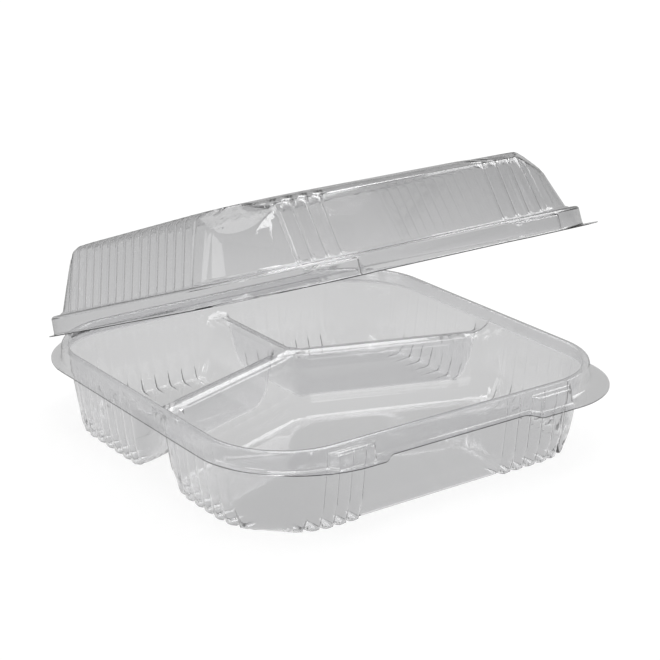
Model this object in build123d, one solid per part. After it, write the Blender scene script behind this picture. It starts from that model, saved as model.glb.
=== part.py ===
from build123d import *
import math
import os

# Sheet and rim
SHEET = 0.4
BAND_WIDTH = 227.0
BAND_DEPTH = 220.0
BAND_CORNER = 45.0
RIM_HEIGHT = 46.0
FLANGE_HEIGHT = 36.5
RIM_LAND = 3.4

# Flange round the tray and round the lid
FLANGE_SIDE = 3.0
FLANGE_FRONT = 5.0
FLANGE_LATCH = 10.5
LATCH_APRON_CORNER = 60.0
EAR_REACH = 12.5
EAR_CORNER = 45.0
FLANGE_BACK = 9.0
STEP_PAST_FLUTES = 1.0

# Tray walls and floor
WALL_CORNER = 41.0
WALL_DRAFT = 3.2
FLOOR_BEVEL_IN = 3.0
FLOOR_BEVEL_UP = 7.5
FLUTE_DEPTH = 2.2
FLUTE_FLOOR_DEPTH = 4.0
FLUTE_FADE = 8.0
FLUTE_PITCH = 8.8
FLUTE_END_MARGIN = 35.0
FRONT_FLUTE_RUN = 35.0

# Divider
RIDGE_TOP = 34.5
RIDGE_Y = 32.0
RIDGE_SLOPE = 0.345
RIDGE_FOOT_HALF = 9.0
RIDGE_TOP_HALF = 3.2
RIDGE_SHOULDER = 2.2
RIDGE_FLARE_IN = 4.6
RIDGE_FLARE_UP = 9.0

# Lid
LID_GAP = 1.0
LID_SKIRT = 10.4
LID_TOP = 43.8
LID_LAND = 5.6
LID_WALL_TOP = 35.5
LID_WALL_DRAFT = 3.6
LID_SHOULDER_IN = 5.5
LID_FOOT_CORNER = 40.0
LID_WALL_CORNER = 40.0
LID_TOP_CORNER = 40.0
FACET_IN = 24.2
FACET_TOP = 40.0
FACET_LEAN = 39.0

# Latches
LATCH_FROM_FLUTES = 17.5
LATCH_WIDTH = 29.0
LATCH_REACH = 4.0
LATCH_ROOT = 11.0
LATCH_LOW = 0.9
LATCH_HIGH = 6.6
LATCH_GAP = 0.6

# Hinge along the back
HINGE_OUT = 11.0
HINGE_END = 26.0
BEAD_RADIUS = 0.8
BEAD_GAP = 0.4
OPEN_ANGLE = 21.0

# Shares and steps of the sheet's shape
EDGE_SHARE = 0.4
OVERCUT = 1.0
FLUTE_SHAPE = [(0.0, 1.0), (0.2, 0.3), (0.5, 0.0), (0.8, 0.3)]
CORNER_STEPS = 8
LARGEST_LEAN = math.radians(42)

SIDE_REACH = BAND_DEPTH / 2 - FLUTE_END_MARGIN
CROSS_REACH = BAND_WIDTH / 2 - FLUTE_END_MARGIN
PANEL_HALF = CROSS_REACH - FRONT_FLUTE_RUN
STEP_X = PANEL_HALF + STEP_PAST_FLUTES
LATCH_X = CROSS_REACH - LATCH_FROM_FLUTES
FLUTE_TOP = RIM_HEIGHT - FLUTE_FADE
HINGE_LENGTH = BAND_WIDTH - 2 * HINGE_END
HINGE_Y = BAND_DEPTH / 2 + HINGE_OUT
FRONT_Y = -BAND_DEPTH / 2
SKIRT_TOP = FLANGE_HEIGHT + LID_SKIRT
LID_TOP_Z = FLANGE_HEIGHT + LID_TOP


def flute_stations(start, end):
    """Positions across a run of flutes, each with its share of the groove depth."""
    count = round((end - start) / FLUTE_PITCH)
    pitch = (end - start) / count
    stations = []
    for index in range(count):
        for share, depth in FLUTE_SHAPE:
            stations.append((start + pitch * (index + share), depth))
    stations.append((end, 1.0))
    return stations


def wall_loop(inset, corner, groove, height):
    """One level of a fluted wall, counter-clockwise from the left end of the front."""
    half_x = BAND_WIDTH / 2 - inset
    half_y = BAND_DEPTH / 2 - inset

    front = flute_stations(-CROSS_REACH, -PANEL_HALF)
    front += flute_stations(PANEL_HALF, CROSS_REACH)
    side = flute_stations(-SIDE_REACH, SIDE_REACH)
    back = flute_stations(-CROSS_REACH, CROSS_REACH)

    def turn_angle(along, half):
        over = abs(along) - (half - corner)
        return min(math.asin(min(max(over / corner, 0.0), 1.0)), LARGEST_LEAN)

    def place(along, half_along, half_out, depth):
        angle = turn_angle(along, half_along)
        out = half_out - corner * (1 - math.cos(angle)) - groove * depth * math.cos(angle)
        shift = -math.copysign(groove * depth * math.sin(angle), along)
        return along + shift, out

    def corner_points(centre_x, centre_y, first, last):
        points = []
        for step in range(1, CORNER_STEPS):
            angle = first + (last - first) * step / CORNER_STEPS
            points.append((centre_x + corner * math.cos(angle), centre_y + corner * math.sin(angle)))
        return points

    lean_x = turn_angle(CROSS_REACH, half_x)
    lean_y = turn_angle(SIDE_REACH, half_y)
    mid_x = half_x - corner
    mid_y = half_y - corner
    quarter = math.pi / 2

    points = []
    for along, depth in front:
        x, out = place(along, half_x, half_y, depth)
        points.append((x, -out))
    points += corner_points(mid_x, -mid_y, -quarter + lean_x, -lean_y)
    for along, depth in side:
        y, out = place(along, half_y, half_x, depth)
        points.append((out, y))
    points += corner_points(mid_x, mid_y, lean_y, quarter - lean_x)
    for along, depth in reversed(back):
        x, out = place(along, half_x, half_y, depth)
        points.append((x, out))
    points += corner_points(-mid_x, mid_y, quarter + lean_x, 2 * quarter - lean_y)
    for along, depth in reversed(side):
        y, out = place(along, half_y, half_x, depth)
        points.append((-out, y))
    points += corner_points(-mid_x, -mid_y, 2 * quarter + lean_y, 3 * quarter - lean_x)
    return [Vector(x, y, height) for x, y in points]


def flat_face(points):
    return Face(Wire.make_polygon(points, close=True))


def is_flat(a, b, c, d):
    normal = (b - a).cross(c - a).normalized()
    return abs((d - a).dot(normal)) < 1e-6


def skin(levels):
    """A closed solid through a stack of wall levels."""
    faces = [flat_face(levels[0]), flat_face(levels[-1])]
    for low, high in zip(levels, levels[1:]):
        for index in range(len(low)):
            after = (index + 1) % len(low)
            a, b, c, d = low[index], low[after], high[after], high[index]
            if is_flat(a, b, c, d):
                faces.append(flat_face([a, b, c, d]))
            else:
                faces.append(flat_face([a, b, c]))
                faces.append(flat_face([a, c, d]))
    return Solid(Shell(faces))


def tray_space(grow, floor, top):
    """The space inside the tray walls, grown outward by a thickness."""
    foot = RIM_LAND + WALL_DRAFT
    slope = WALL_DRAFT / (RIM_HEIGHT - FLOOR_BEVEL_UP)
    floor_inset = foot + FLOOR_BEVEL_IN - EDGE_SHARE * grow
    mid_inset = RIM_LAND + slope * (RIM_HEIGHT - FLUTE_TOP) - grow
    top_inset = RIM_LAND + slope * (RIM_HEIGHT - top) - grow
    fade = FLUTE_DEPTH * (RIM_HEIGHT + OVERCUT - top) / (RIM_HEIGHT + OVERCUT - FLUTE_TOP)
    levels = [
        wall_loop(floor_inset, WALL_CORNER - FLOOR_BEVEL_IN, FLUTE_FLOOR_DEPTH, floor),
        wall_loop(foot - grow, WALL_CORNER, FLUTE_DEPTH, FLOOR_BEVEL_UP - EDGE_SHARE * grow),
        wall_loop(mid_inset, WALL_CORNER, FLUTE_DEPTH, FLUTE_TOP),
        wall_loop(top_inset, WALL_CORNER, fade, top),
    ]
    return skin(levels)


def ridge_section(shrink):
    """Half widths of the hollow divider against height, thinned by the sheet."""
    return [
        (RIDGE_FOOT_HALF + RIDGE_FLARE_IN - shrink, -OVERCUT),
        (RIDGE_FOOT_HALF + RIDGE_FLARE_IN - shrink, SHEET - (1 - EDGE_SHARE) * shrink),
        (RIDGE_FOOT_HALF - shrink, SHEET + RIDGE_FLARE_UP - EDGE_SHARE * shrink),
        (RIDGE_TOP_HALF + RIDGE_SHOULDER - shrink, RIDGE_TOP - RIDGE_SHOULDER - EDGE_SHARE * shrink),
        (RIDGE_TOP_HALF - EDGE_SHARE * shrink, RIDGE_TOP - shrink),
    ]


def ridges(shrink):
    """The Y of three ridges, run out past the tray walls."""
    widths = ridge_section(shrink)
    skew = math.hypot(1, RIDGE_SLOPE)
    across = [Vector(0, RIDGE_Y + half * skew, z) for half, z in widths]
    across += [Vector(0, RIDGE_Y - half * skew, z) for half, z in reversed(widths)]
    along = [Vector(half, RIDGE_Y, z) for half, z in widths]
    along += [Vector(-half, RIDGE_Y, z) for half, z in reversed(widths)]
    run = BAND_WIDTH / 2 * skew
    right = extrude(flat_face(across), amount=run, dir=Vector(1, -RIDGE_SLOPE, 0).normalized())
    left = extrude(flat_face(across), amount=run, dir=Vector(-1, -RIDGE_SLOPE, 0).normalized())
    back = extrude(flat_face(along), amount=BAND_DEPTH / 2 - RIDGE_Y, dir=Vector(0, 1, 0))
    return right + left + back


def rounded_block(grow, low, high):
    outline = RectangleRounded(BAND_WIDTH + 2 * grow, BAND_DEPTH + 2 * grow, BAND_CORNER + grow)
    return Pos(0, 0, low) * extrude(outline, amount=high - low)


def zone(left, right, front, back):
    return Pos((left + right) / 2, (front + back) / 2) * Rectangle(right - left, back - front)


def flange_outline(hinge_edge):
    """The flange seen from above: narrow at the sides, wide at the latches, an ear at the front right."""
    width = BAND_WIDTH + 2 * FLANGE_SIDE
    depth = BAND_DEPTH + 2 * FLANGE_SIDE

    def apron(reach, corner):
        return Pos(0, FLANGE_SIDE - reach) * RectangleRounded(width, depth, corner)

    outline = RectangleRounded(width, depth, BAND_CORNER + FLANGE_SIDE)
    outline += zone(-STEP_X, STEP_X, FRONT_Y - FLANGE_FRONT, 0)
    outline += apron(FLANGE_LATCH, LATCH_APRON_CORNER) & zone(-width, -STEP_X, -depth, 0)
    outline += apron(EAR_REACH, EAR_CORNER) & zone(STEP_X, width, -depth, 0)
    back = Pos(0, FLANGE_BACK - FLANGE_SIDE) * RectangleRounded(width, depth, BAND_CORNER + FLANGE_SIDE)
    outline += back & zone(-width, width, 0, depth)
    outline += zone(-HINGE_LENGTH / 2, HINGE_LENGTH / 2, 0, hinge_edge)
    return outline


def latch_blocks(grow, low, high):
    """A pair of boxes on the front band, grown on the three free sides."""
    depth = LATCH_REACH + grow + LATCH_ROOT
    blocks = []
    for x in (-LATCH_X, LATCH_X):
        centre_y = FRONT_Y - LATCH_REACH - grow + depth / 2
        box = extrude(Rectangle(LATCH_WIDTH + 2 * grow, depth), amount=high - low)
        blocks.append(Pos(x, centre_y, low) * box)
    return blocks[0] + blocks[1]


def make_base():
    cavity = tray_space(0, SHEET, RIM_HEIGHT + SHEET) - ridges(0)
    pockets = tray_space(SHEET, 0, RIM_HEIGHT - SHEET / 2) - ridges(SHEET)

    flange_low = FLANGE_HEIGHT - SHEET
    flange = Pos(0, 0, flange_low) * extrude(flange_outline(HINGE_Y), amount=SHEET)
    band = rounded_block(0, flange_low, RIM_HEIGHT)
    channel = rounded_block(-SHEET, flange_low - OVERCUT, RIM_HEIGHT - SHEET)

    latch_low = FLANGE_HEIGHT + LATCH_LOW
    latch_high = FLANGE_HEIGHT + LATCH_HIGH
    band += latch_blocks(0, latch_low, latch_high)
    channel += latch_blocks(-SHEET, latch_low + SHEET, latch_high - SHEET)

    bead = Pos(0, HINGE_Y, FLANGE_HEIGHT) * Rot(0, 90, 0) * Cylinder(BEAD_RADIUS, HINGE_LENGTH)
    rim = flange + band - channel
    return rim + bead + pockets - cavity


def lid_space(inset, foot, top):
    """The space under the lid's fluted walls."""
    low = LID_LAND - LID_GAP + inset
    high = low + LID_WALL_DRAFT
    shoulder_z = FLANGE_HEIGHT + LID_WALL_TOP - EDGE_SHARE * inset
    levels = [
        wall_loop(low, LID_FOOT_CORNER, FLUTE_DEPTH, foot),
        wall_loop(high, LID_WALL_CORNER, FLUTE_DEPTH, shoulder_z),
        wall_loop(high + LID_SHOULDER_IN, LID_TOP_CORNER, 0, top),
    ]
    return skin(levels)


def corner_facets(depth):
    """Blocks over the flat facets that cut the four top corners of the lid."""
    lean = math.radians(FACET_LEAN)
    blocks = []
    for side in (-1, 1):
        for end in (-1, 1):
            across = math.cos(lean) * math.sqrt(0.5)
            outward = Vector(side * across, end * across, math.sin(lean))
            x = side * (BAND_WIDTH / 2 - FACET_IN)
            y = end * (BAND_DEPTH / 2 - FACET_IN)
            middle = Vector(x, y, FLANGE_HEIGHT + FACET_TOP)
            plane = Plane(origin=middle - outward * depth, z_dir=outward)
            blocks.append(plane * Pos(0, 0, LID_TOP / 2) * Box(BAND_WIDTH, BAND_WIDTH, LID_TOP))
    return blocks


def make_lid():
    back_edge = HINGE_Y - BEAD_RADIUS - BEAD_GAP
    flange = Pos(0, 0, FLANGE_HEIGHT) * extrude(flange_outline(back_edge), amount=SHEET)
    skirt = rounded_block(LID_GAP + SHEET, FLANGE_HEIGHT, SKIRT_TOP)
    under = rounded_block(LID_GAP, FLANGE_HEIGHT - OVERCUT, SKIRT_TOP - SHEET)

    latch_high = FLANGE_HEIGHT + LATCH_HIGH + LATCH_GAP
    skirt += latch_blocks(LATCH_GAP + SHEET, FLANGE_HEIGHT, latch_high + SHEET)
    under += latch_blocks(LATCH_GAP, FLANGE_HEIGHT - OVERCUT, latch_high)

    dome = lid_space(0, SKIRT_TOP - SHEET / 2, LID_TOP_Z) - corner_facets(0)
    hollow = lid_space(SHEET, SKIRT_TOP - SHEET - OVERCUT / 2, LID_TOP_Z - SHEET) - corner_facets(SHEET)
    closed = flange + skirt - under + dome - hollow
    hinge = Axis((0, HINGE_Y, FLANGE_HEIGHT), (-1, 0, 0))
    return closed.rotate(hinge, OPEN_ANGLE)


os.makedirs("parts", exist_ok=True)

base_tray = make_base()
lid = make_lid()

export_step(base_tray, "parts/base_tray.step")
export_step(lid, "parts/lid.step")
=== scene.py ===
import math
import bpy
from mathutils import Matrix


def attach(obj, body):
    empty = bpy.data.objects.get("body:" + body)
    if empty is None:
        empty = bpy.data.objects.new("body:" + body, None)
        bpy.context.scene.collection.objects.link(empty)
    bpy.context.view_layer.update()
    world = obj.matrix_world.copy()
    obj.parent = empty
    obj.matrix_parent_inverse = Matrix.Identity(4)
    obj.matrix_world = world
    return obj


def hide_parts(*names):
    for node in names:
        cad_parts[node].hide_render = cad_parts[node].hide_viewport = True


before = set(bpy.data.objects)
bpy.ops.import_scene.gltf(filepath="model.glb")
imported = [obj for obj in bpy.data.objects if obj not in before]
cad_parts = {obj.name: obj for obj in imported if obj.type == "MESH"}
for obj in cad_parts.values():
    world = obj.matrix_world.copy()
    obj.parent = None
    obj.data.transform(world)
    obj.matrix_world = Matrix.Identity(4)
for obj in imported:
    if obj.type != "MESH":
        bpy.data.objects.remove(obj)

from types import SimpleNamespace

import bmesh
import bpy
import numpy as np
from mathutils import Vector

bl_info = {
    "name": "Clear hinged container",
    "version": (1, 0, 0),
    "blender": (4, 5, 0),
    "location": "View3D > Sidebar > Container",
    "description": "Builds the clear thermoformed look of a hinged three-compartment container",
    "category": "Object",
}

MM = 0.001
DECIMALS = 4

# Stations round the container: places along one flute, counts, and the sine of the largest lean at a corner
FLUTE_STEPS = (0.0, 0.06, 0.2, 0.4, 0.6, 0.8, 0.94)
RIB_POWER = 3
GROOVE_SHARE = 0.99
BACK_FLUTES = 18
SIDE_FLUTES = 17
LEFT_FINGERS = 4
RIGHT_FINGERS = 5
PANEL_STEPS = 9
LID_RIBS = 3
LID_PANEL_STEPS = 10
CORNER_HALF = 7
LARGEST_LEAN = 0.67

# Flange in millimetres: corner radii, rings from its edge inwards, and the probe that finds its edge
FLANGE_CORNER = 48.0
LATCH_CORNER = 60.0
EAR_CORNER = 45.0
FLANGE_SHARES = (1.0, 0.97, 0.5, 0.0)
PROBE_REACH = 26.0
PROBE_STEP = 0.1
EDGE_SMOOTHING = (1.0, 2.0, 3.0, 2.0, 1.0)
HINGE_END_RUN = 6.0
LATCH_ROUNDING = 2.5

# Divider in millimetres: rounding of the fork, the bend, the crest and the joint with the stem
FORK_ROUNDING = 2.0
BEND_ROLL = 2.5
CREST_ROLL = 1.5
STEM_BLEND = 4.0
DIVIDER_MARGIN = 18.0

# Tray's pockets in millimetres: rolls in front of and behind the divider, rib arches, finger tips and fades
SOLVE_LOW = -4.0
SOLVE_HIGH = 60.0
SOLVE_STEPS = 40
FRONT_FOOT_ROLL = 1.8
BACK_FOOT_ROLL = 3.8
FRONT_CORNER_ROLL = 16.0
BACK_CORNER_ROLL = 7.0
ROLL_CHANGE = 3.0
ARCH_TOP = 43.4
ARCH_FALL = 2.6
ARCH_FADE = (-1.2, 0.4)
TIP_LOW = -1.0
TIP_RISE = 2.0
TIP_FADE = (-1.0, 1.4)
BEVEL_FADE = 5.0
FLOOR_FACET_ROLL = 0.8
FAR_INSIDE = 60.0

# Tray's rings in millimetres: the band as (out, height), turns of its fillet, and insets of the pockets
BAND_PROFILE = (
    (0.36, 39.4), (0.28, 41.0), (0.24, 42.0), (0.22, 42.75), (0.2, 43.3), (0.19, 43.6), (0.18, 43.8),
    (0.17, 43.9), (0.08, 44.6), (-0.1, 45.35), (-0.45, 45.78), (-1.0, 46.0), (-2.2, 46.03), (-3.0, 46.0),
    (-3.55, 45.8), (-3.9, 45.35),
)
FILLET_TURNS = (14.0, 28.0, 42.0, 56.0, 70.0, 84.0)
POCKET_INSETS = (
    4.15, 4.3, 4.45, 4.6, 4.8, 5.1, 5.5, 6.0, 6.5, 7.0, 7.5, 8.0, 8.5, 9.1, 9.8, 10.6, 11.5,
    12.4, 13.4, 14.6, 16.0, 18.0, 20.5, 24.0, 28.0,
)
ROUNDED_INSET = 11.5
CORNER_BLEND = 4.0

# Lid's rings in millimetres: the skirt as (out, height), steps of wall and shoulder, top edge and crown
SKIRT_PROFILE = (
    (2.35, 37.0), (2.1, 37.3), (2.0, 37.8), (1.95, 38.6), (1.9, 40.0), (1.85, 42.0), (1.8, 43.6),
    (1.79, 44.35), (1.78, 44.9), (1.77, 45.2), (1.76, 45.4), (1.75, 45.5), (1.55, 46.1),
    (1.1, 46.65), (0.4, 46.9), (-1.2, 46.95), (-2.8, 46.95), (-3.6, 47.05), (-4.1, 47.4),
)
SKIRT_CORNER_SHRINK = 1.8
LID_FLANGE_OUT = 2.8
LID_LATCH_RISE = 1.6
LID_WALL_STEPS = (0.0, 0.04, 0.15, 0.35, 0.55, 0.65, 0.75, 0.82, 0.9, 1.0)
SHOULDER_STEPS = (0.2, 0.4, 0.6, 0.8, 1.0)
GROOVE_START = 0.6
GROOVE_GROWTH = 10.0
TOP_EDGE_IN = 2.0
TOP_EDGE_RISE = 0.15
TOP_EDGE_PEAKED = 0.2
TOP_EDGE_FALLEN = 0.75
CROWN = ((0.93, 0.35, 0.3), (0.8, 0.85, 0.0), (0.6, 1.25, 0.0), (0.3, 1.5, 0.0))
GROOVE_HALF_WIDTHS = (1.3, 0.5, 0.5, 0.5)
LEAST_SPREAD = 0.5

# Edges with a larger angle between their faces are shaded sharp
CRISP_ANGLE = math.radians(50.0)
BEAD_SEGMENTS = 16

# Stage in metres: floor, pools as (centre, near, far), the through and mirror ones painted pools of light on
# the floor and the shade one where the floor's real shadow shows, lamps as (name, place, size, watts)
FLOOR_HALF = 6.0
FLOOR_LEVEL = -0.0005
THROUGH_PAINTED_POOL = ((0.07, 0.13, 0.0), 0.05, 0.5)
MIRROR_PAINTED_POOL = ((0.0, 0.0, 0.0), 0.12, 0.24)
SHADE_POOL = ((0.0, 0.0, 0.0), 0.15, 0.5)
LAMP_AIM = (0.0, 0.0, 0.04)
LAMPS = (
    ("key", (-0.28, -0.32, 1.25), 0.45, 3.2),
    ("top", (0.22, 0.0, 1.15), 0.8, 6.0),
    ("soft", (-0.45, 0.45, 1.2), 0.6, 1.6),
    ("side", (-1.5, 0.4, 0.62), 0.85, 3.0),
    ("right", (0.95, 0.0, 0.9), 0.6, 3.4),
    ("rim", (0.55, 0.8, 0.85), 0.4, 1.3),
    ("left", (-1.15, -0.46, 0.7), 0.5, 2.5),
    ("front", (-0.07, -1.35, 0.33), 0.35, 0.45),
)
SENSOR_WIDTH = 36.0
SHEET_BOUNCES = 40
GLOSSY_BOUNCES = 8


class ContainerSizes(bpy.types.PropertyGroup):
    """Sizes of the container, in the frame of the part, and the look of its sheet."""

    sheet_colour: bpy.props.FloatVectorProperty(
        name="Sheet colour", description="Tint of the clear sheet", size=4,
        default=(0.93, 0.93, 0.935, 1.0), subtype="COLOR")
    sheet_roughness: bpy.props.FloatProperty(
        name="Sheet roughness", description="Roughness of the clear sheet", default=0.03, subtype="FACTOR")
    sheet: bpy.props.FloatProperty(
        name="Sheet", description="Thickness of the clear sheet", default=0.0004, unit="LENGTH")
    half_width: bpy.props.FloatProperty(
        name="Half width", description="Half width of the band", default=0.1135, unit="LENGTH")
    half_depth: bpy.props.FloatProperty(
        name="Half depth", description="Half depth of the band", default=0.11, unit="LENGTH")
    band_corner: bpy.props.FloatProperty(
        name="Band corner", description="Corner radius of the rim band", default=0.045, unit="LENGTH")
    wall_corner: bpy.props.FloatProperty(
        name="Wall corner", description="Corner radius of the tray's wall", default=0.041, unit="LENGTH")
    rim_height: bpy.props.FloatProperty(
        name="Rim height", description="Height of the rim above the table", default=0.046, unit="LENGTH")
    flange_height: bpy.props.FloatProperty(
        name="Flange height", description="Height of the flange's upper face", default=0.0365, unit="LENGTH")
    floor_height: bpy.props.FloatProperty(
        name="Floor height", description="Height of the floor's upper face", default=0.0004, unit="LENGTH")
    wall_top_inset: bpy.props.FloatProperty(
        name="Wall top inset", description="Wall inset at the rim", default=0.0032, unit="LENGTH")
    wall_slope: bpy.props.FloatProperty(
        name="Wall slope", description="Draft of the tray's wall per millimetre of height", default=0.113)
    wall_roll: bpy.props.FloatProperty(
        name="Wall roll", description="Roll from wall to floor", default=0.001, unit="LENGTH")
    bevel_top: bpy.props.FloatProperty(
        name="Bevel top", description="Height of the top of the floor bevel", default=0.008, unit="LENGTH")
    flute_depth: bpy.props.FloatProperty(
        name="Flute depth", description="Depth of the grooves between the ribs",
        default=0.00028, unit="LENGTH")
    groove_shares: bpy.props.FloatVectorProperty(
        name="Groove shares", description="Groove depth at the front, right, back and left", size=4,
        default=(2.4, 0.5, 0.5, 1.0), subtype="NONE")
    finger_depth: bpy.props.FloatProperty(
        name="Finger depth", description="Flute depth at the bevel", default=0.001, unit="LENGTH")
    foot_rise: bpy.props.FloatProperty(
        name="Foot rise", description="Rise of the floor between the fingers", default=0.001, unit="LENGTH")
    foot_reach: bpy.props.FloatProperty(
        name="Foot reach", description="How far the fingers reach in under the floor",
        default=0.012, unit="LENGTH")
    finger_growth: bpy.props.FloatProperty(
        name="Finger growth", description="Depth that the flutes gain per millimetre down the bevel",
        default=0.22)
    lid_groove_depth: bpy.props.FloatProperty(
        name="Lid groove depth", description="Depth of the lid's narrow grooves",
        default=0.0004, unit="LENGTH")
    lid_faint_depth: bpy.props.FloatProperty(
        name="Lid faint depth", description="Depth of the grooves at the right and back",
        default=0.00022, unit="LENGTH")
    lid_panel_half: bpy.props.FloatProperty(
        name="Lid panel half", description="Half of the lid's plain front panel",
        default=0.049, unit="LENGTH")
    lid_rib_reach: bpy.props.FloatProperty(
        name="Lid rib reach", description="How far the ribs reach on the lid's front",
        default=0.07375, unit="LENGTH")
    lid_peak: bpy.props.FloatProperty(
        name="Lid peak", description="Peak of the front ribs", default=0.002, unit="LENGTH")
    lid_front_drop: bpy.props.FloatProperty(
        name="Lid front drop", description="Drop of the front shoulder", default=0.003, unit="LENGTH")
    lid_front_depth: bpy.props.FloatProperty(
        name="Lid front depth", description="Depth of the front grooves", default=0.0014, unit="LENGTH")
    lid_arch: bpy.props.FloatProperty(
        name="Lid arch", description="Arch of the other ribs", default=0.001, unit="LENGTH")
    lid_corner: bpy.props.FloatProperty(
        name="Lid corner", description="Corner radius of the lid's wall", default=0.04, unit="LENGTH")
    lid_foot_inset: bpy.props.FloatProperty(
        name="Lid foot inset", description="Lid wall inset at its foot", default=0.0044, unit="LENGTH")
    lid_wall_foot: bpy.props.FloatProperty(
        name="Lid wall foot", description="Height of the foot of the lid's wall",
        default=0.048, unit="LENGTH")
    lid_wall_top: bpy.props.FloatProperty(
        name="Lid wall top", description="Height of the top of the lid's straight wall",
        default=0.0768, unit="LENGTH")
    lid_wall_slope: bpy.props.FloatProperty(
        name="Lid wall slope", description="Draft of the lid's wall per millimetre of height", default=0.28)
    lid_shoulder: bpy.props.FloatProperty(
        name="Lid shoulder", description="Radius of the lid's shoulder", default=0.0046, unit="LENGTH")
    facet_in: bpy.props.FloatProperty(
        name="Facet in", description="Sum of the distances of the lid's facet from the two sides",
        default=0.0553, unit="LENGTH")
    facet_top: bpy.props.FloatProperty(
        name="Facet top", description="Height above the flange where that sum holds",
        default=0.04, unit="LENGTH")
    facet_slope: bpy.props.FloatProperty(
        name="Facet slope", description="Change of that sum per millimetre of height", default=1.35)
    floor_facet: bpy.props.FloatProperty(
        name="Floor facet", description="Sum of the distances of the floor's facet from the two sides",
        default=0.0445, unit="LENGTH")
    floor_facet_slope: bpy.props.FloatProperty(
        name="Floor facet slope", description="Change of that sum per millimetre of height", default=0.65)
    band_out: bpy.props.FloatProperty(
        name="Band out", description="Lean of the band at its foot", default=0.0004, unit="LENGTH")
    flange_fillet: bpy.props.FloatProperty(
        name="Flange fillet", description="Radius of the fillet from flange to band",
        default=0.0022, unit="LENGTH")
    flange_side: bpy.props.FloatProperty(
        name="Flange side", description="Reach of the flange at the sides", default=0.003, unit="LENGTH")
    flange_front: bpy.props.FloatProperty(
        name="Flange front", description="Reach of the flange at the front", default=0.005, unit="LENGTH")
    flange_latch: bpy.props.FloatProperty(
        name="Flange latch", description="Reach of the flange at the left latch",
        default=0.0105, unit="LENGTH")
    flange_ear: bpy.props.FloatProperty(
        name="Flange ear", description="Reach of the flange at the opening ear",
        default=0.0125, unit="LENGTH")
    flange_back: bpy.props.FloatProperty(
        name="Flange back", description="Reach of the flange at the back", default=0.009, unit="LENGTH")
    step_x: bpy.props.FloatProperty(
        name="Step x", description="Distance of the flange's steps from the middle",
        default=0.0445, unit="LENGTH")
    side_reach: bpy.props.FloatProperty(
        name="Side reach", description="How far the flutes reach on the sides", default=0.075, unit="LENGTH")
    cross_reach: bpy.props.FloatProperty(
        name="Cross reach", description="How far the flutes reach at the front and back",
        default=0.0785, unit="LENGTH")
    panel_left: bpy.props.FloatProperty(
        name="Panel left", description="Left end of the plain front panel", default=-0.049, unit="LENGTH")
    panel_right: bpy.props.FloatProperty(
        name="Panel right", description="Right end of the plain front panel", default=0.038, unit="LENGTH")
    ridge_top: bpy.props.FloatProperty(
        name="Ridge top", description="Height of the divider", default=0.0345, unit="LENGTH")
    ridge_y: bpy.props.FloatProperty(
        name="Ridge y", description="Place of the divider's fork", default=0.032, unit="LENGTH")
    ridge_slope: bpy.props.FloatProperty(
        name="Ridge slope", description="Slope of the divider's arms across the tray", default=0.345)
    ridge_foot: bpy.props.FloatProperty(
        name="Ridge foot", description="Divider half width at the floor", default=0.0136, unit="LENGTH")
    ridge_bend: bpy.props.FloatProperty(
        name="Ridge bend", description="Divider half width at the bend", default=0.0086, unit="LENGTH")
    ridge_bend_height: bpy.props.FloatProperty(
        name="Ridge bend height", description="Divider bend above the floor", default=0.0095, unit="LENGTH")
    ridge_crest: bpy.props.FloatProperty(
        name="Ridge crest", description="Divider half width at the top", default=0.006, unit="LENGTH")
    ridge_roof: bpy.props.FloatProperty(
        name="Ridge roof", description="Fall of the divider's top to its edges", default=0.21)
    hinge_out: bpy.props.FloatProperty(
        name="Hinge out", description="Distance of the hinge behind the band", default=0.011, unit="LENGTH")
    hinge_half: bpy.props.FloatProperty(
        name="Hinge half", description="Half of the hinge length", default=0.0875, unit="LENGTH")
    bead_radius: bpy.props.FloatProperty(
        name="Bead radius", description="Radius of the hinge bead", default=0.0008, unit="LENGTH")
    open_angle: bpy.props.FloatProperty(
        name="Open angle", description="Opening of the lid", default=math.radians(21.0), subtype="ANGLE")
    lid_shift: bpy.props.FloatProperty(
        name="Lid shift", description="Sideways shift of the lid", default=0.0005, unit="LENGTH")
    lid_lift: bpy.props.FloatProperty(
        name="Lid lift", description="Room under the lid's flange", default=0.0007, unit="LENGTH")
    latch_x: bpy.props.FloatProperty(
        name="Latch x", description="Distance of the latches from the middle", default=0.061, unit="LENGTH")
    latch_half: bpy.props.FloatProperty(
        name="Latch half", description="Half width of a latch at the band", default=0.0142, unit="LENGTH")
    latch_front_half: bpy.props.FloatProperty(
        name="Latch front half", description="Half width of a latch at its front",
        default=0.01, unit="LENGTH")
    latch_reach: bpy.props.FloatProperty(
        name="Latch reach", description="How far a latch stands out of the band",
        default=0.0053, unit="LENGTH")
    latch_top: bpy.props.FloatProperty(
        name="Latch top", description="Height of a latch's top at the band", default=0.0439, unit="LENGTH")
    latch_slope: bpy.props.FloatProperty(
        name="Latch slope", description="Fall of a latch's top to its front", default=0.0019, unit="LENGTH")
    latch_room: bpy.props.FloatProperty(
        name="Latch room", description="Room of the lid's pocket round the latch",
        default=0.0012, unit="LENGTH")


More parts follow.
